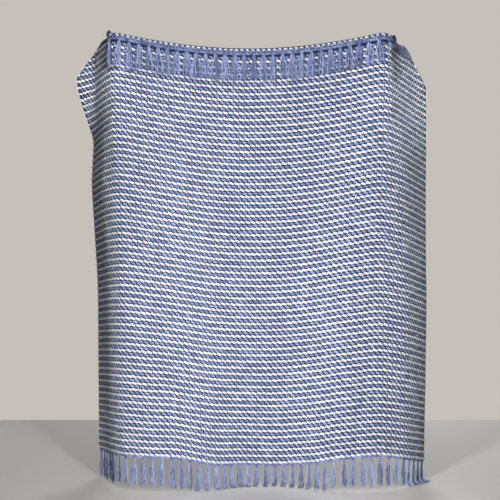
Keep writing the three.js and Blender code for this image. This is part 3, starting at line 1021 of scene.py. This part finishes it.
    def _dress(self, name: str, seats: tuple[Array, Array, Array], form: BobbleForm,
               material: Material, lean: float) -> None:
        """Seats a form on each of some places and keeps the piece."""
        seating = replace(self.seating, lean=lean)
        self.dressings.append(seating.piece(name, seats, form, self.tree, material))

    def bobbles(self) -> None:
        """Makes the white and the blue rows of both faces."""
        start = -self.cloth.half_width
        between = start + np.arange(1, self.bobbles_in_row) * self.pitch
        middles = start + (np.arange(self.bobbles_in_row) + 0.5) * self.pitch
        on_row = np.arange(self.row_count) * self.row_pitch
        off_row = (np.arange(self.row_count) - 0.5) * self.row_pitch
        back_white = replace(self.white_form, rings=self.plain_rings)
        back_blue = replace(self.blue_form, rings=self.plain_rings)
        rows = (
            ("white_bobbles_front", on_row, middles, Face.FRONT, self.white_form, self.white),
            ("blue_bobbles_front", off_row[1:], between, Face.FRONT, self.blue_form, self.blue),
            ("white_bobbles_back", off_row, middles, Face.BACK, back_white, self.white),
            ("blue_bobbles_back", on_row, between, Face.BACK, back_blue, self.blue),
        )
        for name, downs, places, face, form, material in rows:
            random = np.random.default_rng(self.seating.seed + len(name))
            across, down = (grid.ravel() for grid in np.meshgrid(places, downs))
            across = across + random.uniform(-self.wander, self.wander, across.size)
            down = down + random.uniform(-self.wander, self.wander, down.size)
            shown = self._shown(across, down, face)
            seats = self._seats(across[shown], down[shown], face.value)
            self._dress(name, seats, form, material, self.seating.lean * face.value)

    def turned_edge(self) -> None:
        """Makes the white dashes along the top fold and the plain blue band below them."""
        rows = (("fold_dashes", self.dash_row, self.dash_form, self.white, self.dash_lean,
                 self.pitch, self.swing_reach[0]),
                ("hem_band", self.band_row, self.band_form, self.blue, self.band_lean,
                 self.band_spacing * self.pitch, self.cloth.half_width))
        for name, down, form, material, lean, spacing, reach in rows:
            across = np.arange(-reach + spacing / 2, reach, spacing)
            across = across[np.abs(self.cloth.fold_turn(across)) > self.lies_down]
            outside = np.sign(self.cloth.fold_turn(across))[:, None]
            seats = self._seats(across, np.full_like(across, down), outside)
            self._dress(name, seats, form, material, lean)

    def selvedge(self) -> None:
        """Makes the small white loops where each white row turns round the cloth's edge."""
        downs = np.tile(np.arange(1, self.row_count) * self.row_pitch, 2)
        sides = np.repeat([-1.0, 1.0], self.row_count - 1)
        across = sides * self.cloth.half_width
        front, along = self.cloth.frame(across - sides, downs)
        seats = (self.cloth.point(across, downs), along * sides[:, None], front)
        self._dress("selvedge_loops", seats, self.loop_form, self.white, 0.0)


# The fringe


@dataclass
class TasselRun:
    """A tassel's way from its knot to its tips: its middle line, its side and its face."""

    line: Array
    side: Array
    face: Array
    spread: float
    yarns: int
    pointed: float


def curve_through(points: Array, count: int, steps: int = 8) -> Array:
    """Runs a smooth curve through a few points and spaces its own points evenly.

    Args:
        points: The points to pass.
        count: How many points to return.
        steps: How finely each stretch between two points is drawn first.
    Returns:
        The curve's points.
    """
    ends = np.concatenate([2 * points[:1] - points[1:2], points, 2 * points[-1:] - points[-2:-1]])
    t = np.linspace(0, 1, steps, endpoint=False)[:, None]
    pieces = []
    for a, b, c, d in zip(ends[:-3], ends[1:-2], ends[2:-1], ends[3:]):
        pieces.append(0.5 * (2 * b + (c - a) * t + (2 * a - 5 * b + 4 * c - d) * t ** 2
                             + (3 * b - a - 3 * c + d) * t ** 3))
    dense = np.concatenate([*pieces, points[-1:]])
    return evenly(dense, count)


def evenly(line: Array, count: int) -> Array:
    """Spaces a line's points evenly along it.

    Args:
        line: The points of a line.
        count: How many points to return.
    Returns:
        The line's new points.
    """
    run = np.concatenate([[0], np.cumsum(np.linalg.norm(np.diff(line, axis=0), axis=1))])
    at = np.linspace(0, run[-1], count)
    return np.stack([np.interp(at, run, line[:, i]) for i in range(3)], axis=1)


@dataclass
class Fringe:
    """The knotted yarn fringes of both hems."""

    cloth: HangingCloth
    bobble_tree: Tree
    strand_tree: Tree
    tassels: int = 44
    bottom_gap: float = 0.5
    top_gap: float = 0.9
    strip_tall: float = 8.0
    length: float = 88.0
    length_spread: float = 5.0
    behind_length: float = 82.0
    sway: float = 7.0
    swing_power: float = 1.5
    floor_bend: float = 9.0
    floor_sweep: float = 0.3
    sweep_rate: float = 0.45
    hem_inside: float = 2.0
    inner_floor: float = 360.0
    inner_share: float = 0.6
    outer_share: float = 0.1
    points_in_run: int = 15
    yarns: int = 14
    front_yarns: int = 17
    swept_yarns: int = 26
    front_spread: float = 1.6
    front_lengths: tuple[tuple[float, float], ...] = (
        (-400, 89), (-200, 82), (0, 77), (280, 78), (400, 66))
    corner_spread: float = 0.45
    yarn_radius: float = 1.0
    radius_spread: float = 0.15
    yarn_sides: int = 4
    # The fringe's tint: its middle, a painted shade that darkens yarns further back in a tassel and
    # lightens those in front, and a random spread.
    middle_tint: float = 0.5
    painted_inner_shade: float = 0.4
    tint_spread: float = 0.25
    neck: float = 2.2
    belly: float = 7.8
    full_width_at: float = 0.55
    depth: float = 2.6
    full_depth_at: float = 0.4
    filled_depth: float = 0.8
    place_spread: float = 0.25
    wave: float = 1.5
    wave_rate: float = 10.0
    rate_spread: float = 5.0
    full_wave_at: float = 0.3
    wave_lag: int = 3
    wave_outward: float = 0.5
    ragged: float = 0.09
    cut_fineness: int = 4
    thin_from: float = 0.85
    thinner: float = 0.35
    corner_tassels: int = 5
    first_front: int = 7
    first_swept: int = 36
    last_swept: int = 37
    swept: tuple[tuple[float, float, float], ...] = (
        (6, 27, 10), (24, 19, 13), (62, 13, 12), (104, 22, 8))
    swept_lower: float = 9.0
    swept_point: float = 0.75
    point_from: float = 0.35
    corner_inward: tuple[float, ...] = (3.5, 4.5, 5.5, 5.0, 2.5)
    corner_fall: tuple[tuple[float, float, float], ...] = ((0.7, 3, 9), (1, 13, 9), (1, 80, 9))
    settles_at: float = 0.25
    seed: int = 23
    cord_form: BobbleForm = BobbleForm(13.0, 6.0, 2.6, sunk=2.6)
    cord_seating: Seating = Seating(0.5, 0.08, 0.08, (0.3, 0.75), 23)
    cord_twists: int = 4
    cord_short: float = 8.0
    cord_below: float = 5.0
    cord_above: float = 4.5
    cord_flat: float = 0.97 * math.pi
    knot_form: BobbleForm = BobbleForm(11.0, 8.6, 4.0, sunk=4.0, sides=8,
                                       rings=((-0.75, 0.7), (-0.4, 1.0), (-0.08, 0.8),
                                              (0.3, 1.0), (0.72, 0.62)))
    knot_seating: Seating = Seating(0.0, 0.08, 0.08, (0.2, 0.6), 23)
    knot_place: float = 0.2
    pieces: list[Object] = field(default_factory=list)

    def __post_init__(self) -> None:
        """Sets the pitch, the hems' far edges and the random numbers."""
        self.pitch = 2 * self.cloth.half_width / self.tassels
        self.bottom_edge = self.cloth.drop + self.bottom_gap + self.strip_tall
        self.top_edge = -(self.cloth.turned_hem + self.top_gap + self.strip_tall)
        self.random = np.random.default_rng(self.seed)

    def _across(self, index: int) -> float:
        """The place of a tassel across the cloth."""
        return -self.cloth.half_width + (index + 0.5) * self.pitch

    def _top_root(self, across: float) -> Array:
        """The point at which a tassel leaves the top hem."""
        return self.cloth.point(np.array([across]), np.array([self.top_edge]))[0]

    def _uneven(self, spread: float) -> float:
        """An uneven amount, up to a spread either way."""
        return float(self.random.uniform(-spread, spread))

    def _framed(self, line: Array, face: Array, spread: float, yarns: int,
                pointed: float = 0.0) -> TasselRun:
        """Adds the sideways direction to a middle line and its face.

        Args:
            line: The middle line.
            face: The direction out of the tassel at each point.
            spread: How wide it fans, as a share of the usual width.
            yarns: How many yarns it has.
            pointed: How much it narrows to its tips, from 0 to 1.
        Returns:
            The tassel's way.
        """
        tangent = unit(np.gradient(line, axis=0))
        face = unit(face - tangent * (face * tangent).sum(1, keepdims=True))
        return TasselRun(line, unit(np.cross(face, tangent)), face, spread, yarns, pointed)

    def _bottom_run(self, index: int) -> TasselRun:
        """A tassel that hangs from the bottom hem and lies on the floor where it is too long.

        Args:
            index: The tassel's number, from the left.
        Returns:
            The tassel's way.
        """
        across = np.array([self._across(index)])
        root = self.cloth.point(across, self.bottom_edge)[0]
        front = self.cloth.frame(across, np.array([self.cloth.drop - self.hem_inside]))[0][0]
        out = unit(front * np.array([1, 1, 0]))
        sweep = np.array([self.floor_sweep * math.sin(index * self.sweep_rate), -1, 0])
        share = self.inner_share if abs(root[0]) < self.inner_floor else self.outer_share
        heading = unit(lerp(out, sweep, share))
        length = self.length + self._uneven(self.length_spread)
        lowest = FLOOR + self.depth + self.yarn_radius
        hang = min(length, root[2] - lowest)
        bend = self.floor_bend if length > hang + self.floor_bend else 0.0
        run = np.linspace(0, length, self.points_in_run)
        if bend:
            arc = np.clip((run - (hang - bend)) / bend, 0, math.pi / 2)
            rest = np.maximum(0, run - (hang - bend) - bend * math.pi / 2)
            ahead = bend * (1 - np.cos(arc)) + rest
            fall = np.minimum(run, hang - bend) + bend * np.sin(arc)
        else:
            ahead, fall = np.zeros_like(run), np.minimum(run, hang)
        side = np.cross(out, [0, 0, 1])
        swing = self._uneven(self.sway) * (run / length) ** self.swing_power
        line = root + heading * ahead[:, None] + side * swing[:, None]
        line[:, 2] -= fall
        turned = np.clip(ahead / self.floor_bend, 0, 1)[:, None]
        face = unit(lerp(out, np.array([0, 0, 1.0]), turned))
        return self._framed(line, face, 1.0, self.yarns)

    def _lying_run(self, index: int, clear: float, length: float) -> TasselRun:
        """A tassel of the turned hem that hangs along the main sheet, in front or behind.

        Args:
            index: The tassel's number, from the left.
            clear: How far in front of the middle surface it lies, or behind where negative.
            length: Its usual length.
        Returns:
            The tassel's way.
        """
        across = self._across(index)
        root = self._top_root(across)
        length += self._uneven(self.length_spread)
        share = np.linspace(0, 1, self.points_in_run)
        aside = across + self._uneven(self.sway) * share ** self.swing_power
        down = self.cloth.line_height(aside, 0.0) - (root[2] - length * share)
        line = self.cloth.before(aside, down, np.full_like(aside, clear))
        line = lerp(root + np.zeros_like(line), line, smooth(share, 0, self.settles_at)[:, None])
        line[0] = root
        face = -self.cloth.sheet_back(aside, down) * math.copysign(1, clear)
        if clear > 0:
            return self._framed(line, face, self.front_spread, self.front_yarns)
        return self._framed(line, face, 1.0, self.yarns)

    def _corner_run(self, index: int) -> TasselRun:
        """A tassel of a cut corner, which turns off its steep hem before it falls.

        Args:
            index: The tassel's number, from the left.
        Returns:
            The tassel's way.
        """
        across = self._across(index)
        side = math.copysign(1, across)
        number = index if side < 0 else self.tassels - 1 - index
        root = self._top_root(across)
        slant = float(self.cloth.fold_slant(np.array([across]))[0])
        out = float(self.cloth.fold_down(np.array([across]))[0] - self.top_edge) * math.cos(slant)
        run = 2 * out - self.cloth.bend * math.pi
        hem_across = across - side * run * math.sin(slant)
        hem_down = self.top_edge + run * math.cos(slant)
        shares, falls, clears = np.array(self.corner_fall).T
        at = hem_across - side * shares * self.corner_inward[number]
        down = hem_down + falls
        points = self.cloth.before(at, down, -clears)
        line = curve_through(np.concatenate([[root], points]), self.points_in_run)
        face = np.tile(self.cloth.sheet_back(at[-1:], down[-1:])[0], (len(line), 1))
        return self._framed(line, face, self.corner_spread, self.yarns)

    def _swept_run(self, index: int) -> TasselRun:
        """A tassel that is swept to the right along the fold.

        Args:
            index: The tassel's number, from the left.
        Returns:
            The tassel's way.
        """
        across = self._across(index)
        root = self._top_root(across)
        reach, down, clear = np.array(self.swept, float).T
        down = down + (self.swept_lower if index == self.first_swept else 0.0)
        points = self.cloth.before(across + reach, down, clear)
        line = curve_through(np.concatenate([[root], points]), self.points_in_run)
        face = np.tile([0, -1.0, 0], (len(line), 1))
        return self._framed(line, face, 1.0, self.swept_yarns, self.swept_point)

    def _strands(self, runs: list[TasselRun]) -> tuple[Array, Array, Array, Array]:
        """Lays the yarns of some tassels round their middle lines.

        Args:
            runs: The tassels' ways.
        Returns:
            The points, the edges, and the radius and the tint at each point, the tint with a
            painted shade on yarns further back.
        """
        points, edges, thick, tints = [], [], [], []
        share = np.linspace(0, 1, self.points_in_run)
        wide = lerp(self.neck, self.belly, smooth(share, 0.0, self.full_width_at))
        deep = lerp(self.neck, self.depth, smooth(share, 0.0, self.full_depth_at))
        waving = smooth(share, 0, self.full_wave_at)
        thinning = 1 - self.thinner * smooth(share, self.thin_from, 1.0)
        for run in runs:
            point = 1 - run.pointed * smooth(share, self.point_from, 1.0)
            for number in range(run.yarns):
                place = (number + 0.5) / run.yarns * 2 - 1 + self._uneven(self.place_spread)
                level = self._uneven(1.0)
                phase = self._uneven(math.pi)
                rate = self.wave_rate + self._uneven(self.rate_spread)
                ripple = self.wave * np.sin(rate * share + phase) * waving
                behind = self.wave_outward * np.roll(ripple, self.wave_lag)
                sideways = ((place * wide * run.spread + ripple) * point)[:, None]
                outward = ((level * deep * self.filled_depth + behind) * point)[:, None]
                line = run.line + run.side * sideways + run.face * outward
                line = self._cut(line, 1 - abs(self._uneven(self.ragged)))
                line[:, 2] = np.maximum(line[:, 2], FLOOR + self.yarn_radius)
                ids = np.arange(self.points_in_run) + len(points) * self.points_in_run
                points.append(line)
                edges.append(np.stack([ids[:-1], ids[1:]], 1))
                thick.append(self.yarn_radius * thinning * (1 + self._uneven(self.radius_spread)))
                # Painted shade: a yarn further back in its tassel gets a deeper tint and one in
                # front a lighter one, on top of its random spread.
                tint = self.middle_tint + self.painted_inner_shade * level + self._uneven(self.tint_spread)
                tints.append(np.full(self.points_in_run, np.clip(tint, 0, 1)))
        return (np.concatenate(points), np.concatenate(edges), np.concatenate(thick),
                np.concatenate(tints))

    def _cut(self, line: Array, share: float) -> Array:
        """Shortens a line to a share of its length.

        Args:
            line: The points of a line.
            share: The share of it to keep.
        Returns:
            The shorter line's points, as many as before.
        """
        dense = evenly(line, self.cut_fineness * self.points_in_run)
        kept = max(2, round(share * len(dense)))
        return evenly(dense[:kept], self.points_in_run)

    def stretch(self, name: str, runs: list[TasselRun], node: str, material: Material) -> None:
        """Makes the yarns of one stretch of fringe, in the place of its CAD node.

        Args:
            name: The piece's name.
            runs: The tassels' ways.
            node: The CAD node.
            material: The yarn's finish.
        """
        points, edges, thick, tints = self._strands(runs)
        carrier = mesh_object(name, points, edges=edges)
        set_attribute(carrier.data, "thick", thick * MM)
        set_attribute(carrier.data, "tint", tints)
        piece = grow(carrier, self.strand_tree, {"Sides": self.yarn_sides, "Material": material})
        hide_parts(node)
        self.pieces.append(piece)

    def hem_cord(self, name: str, down: float, material: Material) -> None:
        """Makes the twisted cord between a hem and its knots.

        Args:
            name: The piece's name.
            down: Where the cord lies, as a length down the cloth.
            material: The yarn's finish.
        """
        count = self.tassels * self.cord_twists
        width = 2 * self.cloth.half_width - self.cord_short
        across = (np.arange(count) + 0.5) / count * width - width / 2
        if down < 0:
            across = across[np.abs(self.cloth.fold_turn(across)) > self.cord_flat]
        downs = np.full_like(across, down)
        seats = (self.cloth.point(across, downs), *self.cloth.frame(across, downs))
        lean = math.copysign(self.cord_seating.lean, -down)
        seating = replace(self.cord_seating, lean=lean)
        self.pieces.append(seating.piece(name, seats, self.cord_form, self.bobble_tree, material))

    def knots(self, name: str, runs: list[TasselRun], material: Material) -> None:
        """Makes the knot at the head of each tassel.

        Args:
            name: The piece's name.
            runs: The tassels' ways.
            material: The yarn's finish.
        """
        share = self.knot_place
        places = np.array([run.line[0] * (1 - share) + run.line[1] * share for run in runs])
        ahead = unit(np.array([run.line[1] - run.line[0] for run in runs]))
        seats = (places, np.array([run.face[0] for run in runs]), ahead)
        self.pieces.append(self.knot_seating.piece(name, seats, self.knot_form, self.bobble_tree,
                                                   material))

    def build(self) -> None:
        """Makes all four stretches of fringe, their cords and their knots."""
        material = FRINGE_YARN.material()
        clear = 2 * self.cloth.bend
        places, lengths = zip(*self.front_lengths)
        right_corner = self.tassels - self.corner_tassels
        bottom = [self._bottom_run(i) for i in range(self.tassels)]
        front = [self._lying_run(i, clear, float(np.interp(self._across(i), places, lengths)))
                 for i in range(self.first_front, self.first_swept)]
        front += [self._swept_run(i) for i in range(self.first_swept, self.last_swept + 1)]
        left = [self._corner_run(i) for i in range(self.corner_tassels)]
        left += [self._lying_run(i, -clear, self.behind_length)
                 for i in range(self.corner_tassels, self.first_front)]
        right = [self._lying_run(i, -clear, self.behind_length)
                 for i in range(self.last_swept + 1, right_corner)]
        right += [self._corner_run(i) for i in range(right_corner, self.tassels)]
        for node, runs in (("fringe_bottom", bottom), ("fringe_top", front),
                           ("fringe_top_left", left), ("fringe_top_right", right)):
            self.stretch(f"{node}_yarn", runs, node, material)
        self.hem_cord("hem_cord_bottom", self.cloth.drop + self.cord_below, material)
        self.hem_cord("hem_cord_top", -self.cloth.turned_hem - self.cord_above, material)
        self.knots("knots_bottom", bottom, material)
        self.knots("knots_top", front + left + right, material)


# The studio


@dataclass(frozen=True)
class Softbox:
    """A soft lamp, whose grid keeps its light within a cone, in metres, degrees and watts."""

    name: str
    place: Place
    target: Place
    wide: float
    tall: float
    cone: float
    watts: float

    def hang(self) -> None:
        """Adds the lamp, turned to its target."""
        lamp = bpy.data.lights.new(self.name, "AREA")
        lamp.shape = "RECTANGLE"
        lamp.size, lamp.size_y = self.wide, self.tall
        lamp.spread, lamp.energy = math.radians(self.cone), self.watts
        obj = bpy.data.objects.new(self.name, lamp)
        obj.location = self.place
        way = np.array(self.target) - np.array(self.place)
        obj.rotation_euler = (math.atan2(math.hypot(way[0], way[1]), -way[2]), 0,
                              math.atan2(way[1], way[0]) - math.pi / 2)
        obj.visible_camera = False
        bpy.context.scene.collection.objects.link(obj)


@dataclass
class Studio:
    """The plain floor, the soft light and the camera.

    Two tall lamps cross in front of the throw. Each lights the half across from it, and the cloth
    that turns back beyond the grips gets less of their light.
    """

    floor_reach: tuple[float, float, float] = (2600.0, 2600.0, 1220.0)
    camera_place: tuple[float, float, float] = (3.0, -3000.0, -616.5)
    lens: float = 70.13
    sensor: float = 36.0
    floor_colour: str = "#d4d1cd"
    floor_roughness: float = 0.7
    sky_colour: str = "#c6c0ba"
    sky_strength: float = 0.03
    softboxes: tuple[Softbox, ...] = (
        Softbox("strip_box_on_the_right", (0.5, -1.95, -0.35), (-0.49, 0.0, -0.62),
                0.25, 1.9, 41.0, 6.0),
        Softbox("strip_box_on_the_left", (-0.78, -1.95, -0.35), (0.47, 0.0, -0.62),
                0.25, 1.9, 41.0, 7.0),
        Softbox("front_softbox", (0.0, -2.4, -0.1), (0.0, 0.0, -0.6), 0.6, 0.6, 180.0, 8.0),
        Softbox("left_corner_softbox", (0.35, -2.2, 0.1), (-0.57, 0.0, -0.12),
                0.16, 0.16, 8.5, 0.2),
        Softbox("right_corner_softbox", (-0.5, -2.2, 0.1), (0.57, 0.0, -0.13),
                0.16, 0.16, 8.5, 0.16),
        Softbox("back_softbox", (0.6, 3.0, 0.6), (0.0, 0.1, -0.6), 1.6, 1.6, 180.0, 60.0),
        Softbox("floor_softbox", (0.0, -1.6, 3.0), (0.0, -1.2, -1.3), 2.4, 2.4, 120.0, 24.0),
    )

    def floor(self) -> None:
        """Lays the plain pale floor, which gives the eye the soft shadow below the throw."""
        side, ahead, behind = self.floor_reach
        corners = [(-side, -ahead), (side, -ahead), (side, behind), (-side, behind)]
        points = np.array([(x, y, FLOOR) for x, y in corners])
        floor = mesh_object("studio_floor", points, [(0, 1, 2, 3)])
        material = bpy.data.materials.new("matt_pale_floor")
        material.use_nodes = True
        shader = material.node_tree.nodes["Principled BSDF"]
        shader.inputs["Base Color"].default_value = linear_colour(self.floor_colour)
        shader.inputs["Roughness"].default_value = self.floor_roughness
        floor.data.materials.append(material)

    def light(self) -> None:
        """Sets a pale sky and hangs the lamps."""
        world = bpy.data.worlds.new("studio_sky")
        world.use_nodes = True
        tree = world.node_tree
        tree.nodes.clear()
        colour = linear_colour(self.sky_colour)
        fill, backdrop = (add_node(tree, "ShaderNodeBackground", {
            "Color": colour, "Strength": strength}) for strength in (self.sky_strength, 1.0))
        rays = add_node(tree, "ShaderNodeLightPath")
        both = add_node(tree, "ShaderNodeMixShader", {
            0: rays.outputs["Is Camera Ray"], 1: fill.outputs[0], 2: backdrop.outputs[0]})
        add_node(tree, "ShaderNodeOutputWorld", {"Surface": both.outputs[0]})
        bpy.context.scene.world = world
        for softbox in self.softboxes:
            softbox.hang()

    def camera(self) -> None:
        """Sets the camera level, at the photograph's distance and height."""
        data = bpy.data.cameras.new("photo_camera")
        data.lens, data.sensor_width = self.lens, self.sensor
        camera = bpy.data.objects.new("photo_camera", data)
        camera.location = [value * MM for value in self.camera_place]
        camera.rotation_euler = (math.pi / 2, 0, 0)
        bpy.context.scene.collection.objects.link(camera)
        bpy.context.scene.camera = camera
        bpy.context.scene.view_settings.view_transform = "Standard"


def main() -> None:
    """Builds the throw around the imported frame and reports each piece."""
    logging.basicConfig(level=logging.INFO, format="%(name)s: %(message)s")
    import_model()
    studio = Studio()
    studio.camera()
    studio.light()
    studio.floor()

    cloth = HangingCloth()
    seats, strands = bobble_tree(), strand_tree()
    throw = WovenThrow(cloth, seats)
    ground = throw.ground()
    throw.bobbles()
    throw.turned_edge()
    throw.selvedge()
    fringe = Fringe(cloth, seats, strands)
    fringe.build()

    for piece in (ground, *throw.dressings):
        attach(piece, "root")
    for piece in fringe.pieces:
        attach(piece, "root")
    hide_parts("cloth")
    for piece in (ground, *throw.dressings, *fringe.pieces):
        piece.data.calc_loop_triangles()
        LOG.info("%s: %d triangles", piece.name, len(piece.data.loop_triangles))

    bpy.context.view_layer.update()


if __name__ == "__main__":
    main()
